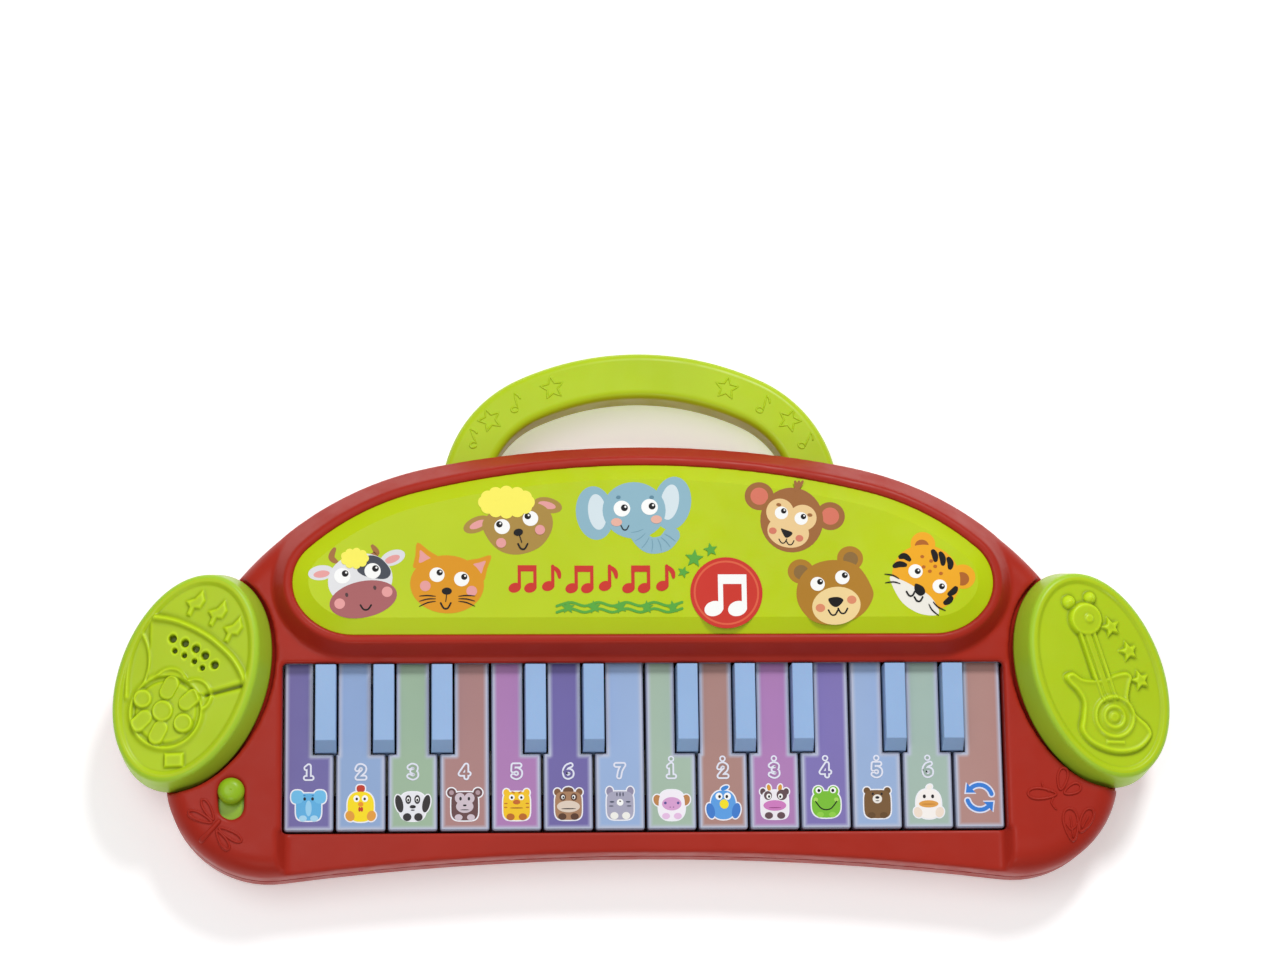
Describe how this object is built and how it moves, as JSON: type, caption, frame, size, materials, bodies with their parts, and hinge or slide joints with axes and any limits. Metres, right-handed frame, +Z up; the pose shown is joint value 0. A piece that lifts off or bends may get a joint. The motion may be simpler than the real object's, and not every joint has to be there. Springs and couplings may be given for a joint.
{
  "type": "toy electronic keyboard",
  "caption": "Toy electronic keyboard: bean-shaped casing with hinged coloured keys, two round push pads, a slide switch, a raised picture panel and a carrying handle.",
  "frame": {"origin": "on the table under the middle of the toy's bounding box", "axes": "+X along the row of keys to the player's right, +Y away from the player towards the handle, +Z up out of the key tops"},
  "size_m": [0.3804, 0.1935, 0.0432],
  "materials": {
    "casing_red": "moulded, soft sheen",
    "panel_lime": "moulded, soft sheen",
    "soft_green": "moulded, soft sheen",
    "knob_green": "moulded",
    "key_purple": "printed top, pale edges",
    "key_blue": "printed top, pale edges",
    "key_green": "printed top, pale edges",
    "key_brown": "printed top, pale edges",
    "key_pink": "printed top, pale edges",
    "key_light_blue": "moulded",
    "steel": "turned or pressed",
    "zinc_screw": "zinc plated",
    "spring_steel": "drawn wire",
    "frame_plastic": "moulded, natural white",
    "dark_rubber": "matt",
    "circuit_board": "lacquered laminate",
    "black_parts": "matt",
    "speaker_paper": "pressed paper",
    "cell_wrap": "printed sleeve",
    "wire_sleeve": "insulated wire"
  },
  "bodies": {
    "casing": {"battery_cells": "cell_wrap", "battery_contacts": "spring_steel", "battery_door": "casing_red", "battery_door_screw": "zinc_screw", "board_components": "black_parts", "board_screws": "zinc_screw", "casing_screws": "zinc_screw", "drum_pad_spring": "spring_steel", "guitar_pad_spring": "spring_steel", "handle_front_shell": "soft_green", "handle_rear_shell": "soft_green", "key_board_ribbon": "frame_plastic", "key_contact_board": "circuit_board", "key_contact_rubber": "dark_rubber", "key_pivot_rod": "steel", "keybed_frame": "frame_plastic", "lower_casing": "casing_red", "main_circuit_board": "circuit_board", "pad_contact_boards": "circuit_board", "pad_contact_domes": "dark_rubber", "picture_panel": "panel_lime", "slide_switch_body": "black_parts", "speaker_basket": "steel", "speaker_cone": "speaker_paper", "speaker_magnet": "steel", "upper_casing": "casing_red", "wires": "wire_sleeve"},
    "white_key_01_body": {"white_key_01": "key_purple"},
    "white_key_02_body": {"white_key_02": "key_blue"},
    "white_key_03_body": {"white_key_03": "key_green"},
    "white_key_04_body": {"white_key_04": "key_brown"},
    "white_key_05_body": {"white_key_05": "key_pink"},
    "white_key_06_body": {"white_key_06": "key_purple"},
    "white_key_07_body": {"white_key_07": "key_blue"},
    "white_key_08_body": {"white_key_08": "key_green"},
    "white_key_09_body": {"white_key_09": "key_brown"},
    "white_key_10_body": {"white_key_10": "key_pink"},
    "white_key_11_body": {"white_key_11": "key_purple"},
    "white_key_12_body": {"white_key_12": "key_blue"},
    "white_key_13_body": {"white_key_13": "key_green"},
    "white_key_14_body": {"white_key_14": "key_brown"},
    "black_key_01_body": {"black_key_01": "key_light_blue"},
    "black_key_02_body": {"black_key_02": "key_light_blue"},
    "black_key_03_body": {"black_key_03": "key_light_blue"},
    "black_key_04_body": {"black_key_04": "key_light_blue"},
    "black_key_05_body": {"black_key_05": "key_light_blue"},
    "black_key_06_body": {"black_key_06": "key_light_blue"},
    "black_key_07_body": {"black_key_07": "key_light_blue"},
    "black_key_08_body": {"black_key_08": "key_light_blue"},
    "black_key_09_body": {"black_key_09": "key_light_blue"},
    "black_key_10_body": {"black_key_10": "key_light_blue"},
    "drum_pad_body": {"drum_pad": "soft_green", "drum_pad_retainer": "zinc_screw"},
    "guitar_pad_body": {"guitar_pad": "soft_green", "guitar_pad_retainer": "zinc_screw"},
    "power_switch_body": {"power_switch_knob": "knob_green"}
  },
  "joints": [
    {"name": "white_key_01_pivot", "type": "hinge", "parent": "casing", "child": "white_key_01_body", "pos_m": [-0.12025, 0.001, 0.02], "axis": [1, 0, 0], "range_deg": [0, 2.3], "stiffness_Nm_per_rad": 0.15, "springref_deg": -20.05},
    {"name": "white_key_02_pivot", "type": "hinge", "parent": "casing", "child": "white_key_02_body", "pos_m": [-0.10175, 0.001, 0.02], "axis": [1, 0, 0], "range_deg": [0, 2.3], "stiffness_Nm_per_rad": 0.15, "springref_deg": -20.05},
    {"name": "white_key_03_pivot", "type": "hinge", "parent": "casing", "child": "white_key_03_body", "pos_m": [-0.08325, 0.001, 0.02], "axis": [1, 0, 0], "range_deg": [0, 2.3], "stiffness_Nm_per_rad": 0.15, "springref_deg": -20.05},
    {"name": "white_key_04_pivot", "type": "hinge", "parent": "casing", "child": "white_key_04_body", "pos_m": [-0.06475, 0.001, 0.02], "axis": [1, 0, 0], "range_deg": [0, 2.3], "stiffness_Nm_per_rad": 0.15, "springref_deg": -20.05},
    {"name": "white_key_05_pivot", "type": "hinge", "parent": "casing", "child": "white_key_05_body", "pos_m": [-0.04625, 0.001, 0.02], "axis": [1, 0, 0], "range_deg": [0, 2.3], "stiffness_Nm_per_rad": 0.15, "springref_deg": -20.05},
    {"name": "white_key_06_pivot", "type": "hinge", "parent": "casing", "child": "white_key_06_body", "pos_m": [-0.02775, 0.001, 0.02], "axis": [1, 0, 0], "range_deg": [0, 2.3], "stiffness_Nm_per_rad": 0.15, "springref_deg": -20.05},
    {"name": "white_key_07_pivot", "type": "hinge", "parent": "casing", "child": "white_key_07_body", "pos_m": [-0.00925, 0.001, 0.02], "axis": [1, 0, 0], "range_deg": [0, 2.3], "stiffness_Nm_per_rad": 0.15, "springref_deg": -20.05},
    {"name": "white_key_08_pivot", "type": "hinge", "parent": "casing", "child": "white_key_08_body", "pos_m": [0.00925, 0.001, 0.02], "axis": [1, 0, 0], "range_deg": [0, 2.3], "stiffness_Nm_per_rad": 0.15, "springref_deg": -20.05},
    {"name": "white_key_09_pivot", "type": "hinge", "parent": "casing", "child": "white_key_09_body", "pos_m": [0.02775, 0.001, 0.02], "axis": [1, 0, 0], "range_deg": [0, 2.3], "stiffness_Nm_per_rad": 0.15, "springref_deg": -20.05},
    {"name": "white_key_10_pivot", "type": "hinge", "parent": "casing", "child": "white_key_10_body", "pos_m": [0.04625, 0.001, 0.02], "axis": [1, 0, 0], "range_deg": [0, 2.3], "stiffness_Nm_per_rad": 0.15, "springref_deg": -20.05},
    {"name": "white_key_11_pivot", "type": "hinge", "parent": "casing", "child": "white_key_11_body", "pos_m": [0.06475, 0.001, 0.02], "axis": [1, 0, 0], "range_deg": [0, 2.3], "stiffness_Nm_per_rad": 0.15, "springref_deg": -20.05},
    {"name": "white_key_12_pivot", "type": "hinge", "parent": "casing", "child": "white_key_12_body", "pos_m": [0.08325, 0.001, 0.02], "axis": [1, 0, 0], "range_deg": [0, 2.3], "stiffness_Nm_per_rad": 0.15, "springref_deg": -20.05},
    {"name": "white_key_13_pivot", "type": "hinge", "parent": "casing", "child": "white_key_13_body", "pos_m": [0.10175, 0.001, 0.02], "axis": [1, 0, 0], "range_deg": [0, 2.3], "stiffness_Nm_per_rad": 0.15, "springref_deg": -20.05},
    {"name": "white_key_14_pivot", "type": "hinge", "parent": "casing", "child": "white_key_14_body", "pos_m": [0.12025, 0.001, 0.02], "axis": [1, 0, 0], "range_deg": [0, 2.3], "stiffness_Nm_per_rad": 0.15, "springref_deg": -20.05},
    {"name": "black_key_01_pivot", "type": "hinge", "parent": "casing", "child": "black_key_01_body", "pos_m": [-0.1143, 0.001, 0.02], "axis": [1, 0, 0], "range_deg": [0, 2.5], "stiffness_Nm_per_rad": 0.15, "springref_deg": -20.05},
    {"name": "black_key_02_pivot", "type": "hinge", "parent": "casing", "child": "black_key_02_body", "pos_m": [-0.0936, 0.001, 0.02], "axis": [1, 0, 0], "range_deg": [0, 2.5], "stiffness_Nm_per_rad": 0.15, "springref_deg": -20.05},
    {"name": "black_key_03_pivot", "type": "hinge", "parent": "casing", "child": "black_key_03_body", "pos_m": [-0.0728, 0.001, 0.02], "axis": [1, 0, 0], "range_deg": [0, 2.5], "stiffness_Nm_per_rad": 0.15, "springref_deg": -20.05},
    {"name": "black_key_04_pivot", "type": "hinge", "parent": "casing", "child": "black_key_04_body", "pos_m": [-0.03935, 0.001, 0.02], "axis": [1, 0, 0], "range_deg": [0, 2.5], "stiffness_Nm_per_rad": 0.15, "springref_deg": -20.05},
    {"name": "black_key_05_pivot", "type": "hinge", "parent": "casing", "child": "black_key_05_body", "pos_m": [-0.01855, 0.001, 0.02], "axis": [1, 0, 0], "range_deg": [0, 2.5], "stiffness_Nm_per_rad": 0.15, "springref_deg": -20.05},
    {"name": "black_key_06_pivot", "type": "hinge", "parent": "casing", "child": "black_key_06_body", "pos_m": [0.0152, 0.001, 0.02], "axis": [1, 0, 0], "range_deg": [0, 2.5], "stiffness_Nm_per_rad": 0.15, "springref_deg": -20.05},
    {"name": "black_key_07_pivot", "type": "hinge", "parent": "casing", "child": "black_key_07_body", "pos_m": [0.0359, 0.001, 0.02], "axis": [1, 0, 0], "range_deg": [0, 2.5], "stiffness_Nm_per_rad": 0.15, "springref_deg": -20.05},
    {"name": "black_key_08_pivot", "type": "hinge", "parent": "casing", "child": "black_key_08_body", "pos_m": [0.0567, 0.001, 0.02], "axis": [1, 0, 0], "range_deg": [0, 2.5], "stiffness_Nm_per_rad": 0.15, "springref_deg": -20.05},
    {"name": "black_key_09_pivot", "type": "hinge", "parent": "casing", "child": "black_key_09_body", "pos_m": [0.09015, 0.001, 0.02], "axis": [1, 0, 0], "range_deg": [0, 2.5], "stiffness_Nm_per_rad": 0.15, "springref_deg": -20.05},
    {"name": "black_key_10_pivot", "type": "hinge", "parent": "casing", "child": "black_key_10_body", "pos_m": [0.11095, 0.001, 0.02], "axis": [1, 0, 0], "range_deg": [0, 2.5], "stiffness_Nm_per_rad": 0.15, "springref_deg": -20.05},
    {"name": "drum_pad_slide", "type": "slide", "parent": "casing", "child": "drum_pad_body", "axis": [0.2079, 0, -0.9781], "range_m": [0, 0.0025], "stiffness_N_per_m": 600, "springref_m": -0.006, "deforming": ["drum_pad_spring"]},
    {"name": "guitar_pad_slide", "type": "slide", "parent": "casing", "child": "guitar_pad_body", "axis": [-0.2079, 0, -0.9781], "range_m": [0, 0.0025], "stiffness_N_per_m": 600, "springref_m": -0.006, "deforming": ["guitar_pad_spring"]},
    {"name": "power_switch_slide", "type": "slide", "parent": "casing", "child": "power_switch_body", "axis": [0, -1, 0], "range_m": [0, 0.005]}
  ]
}
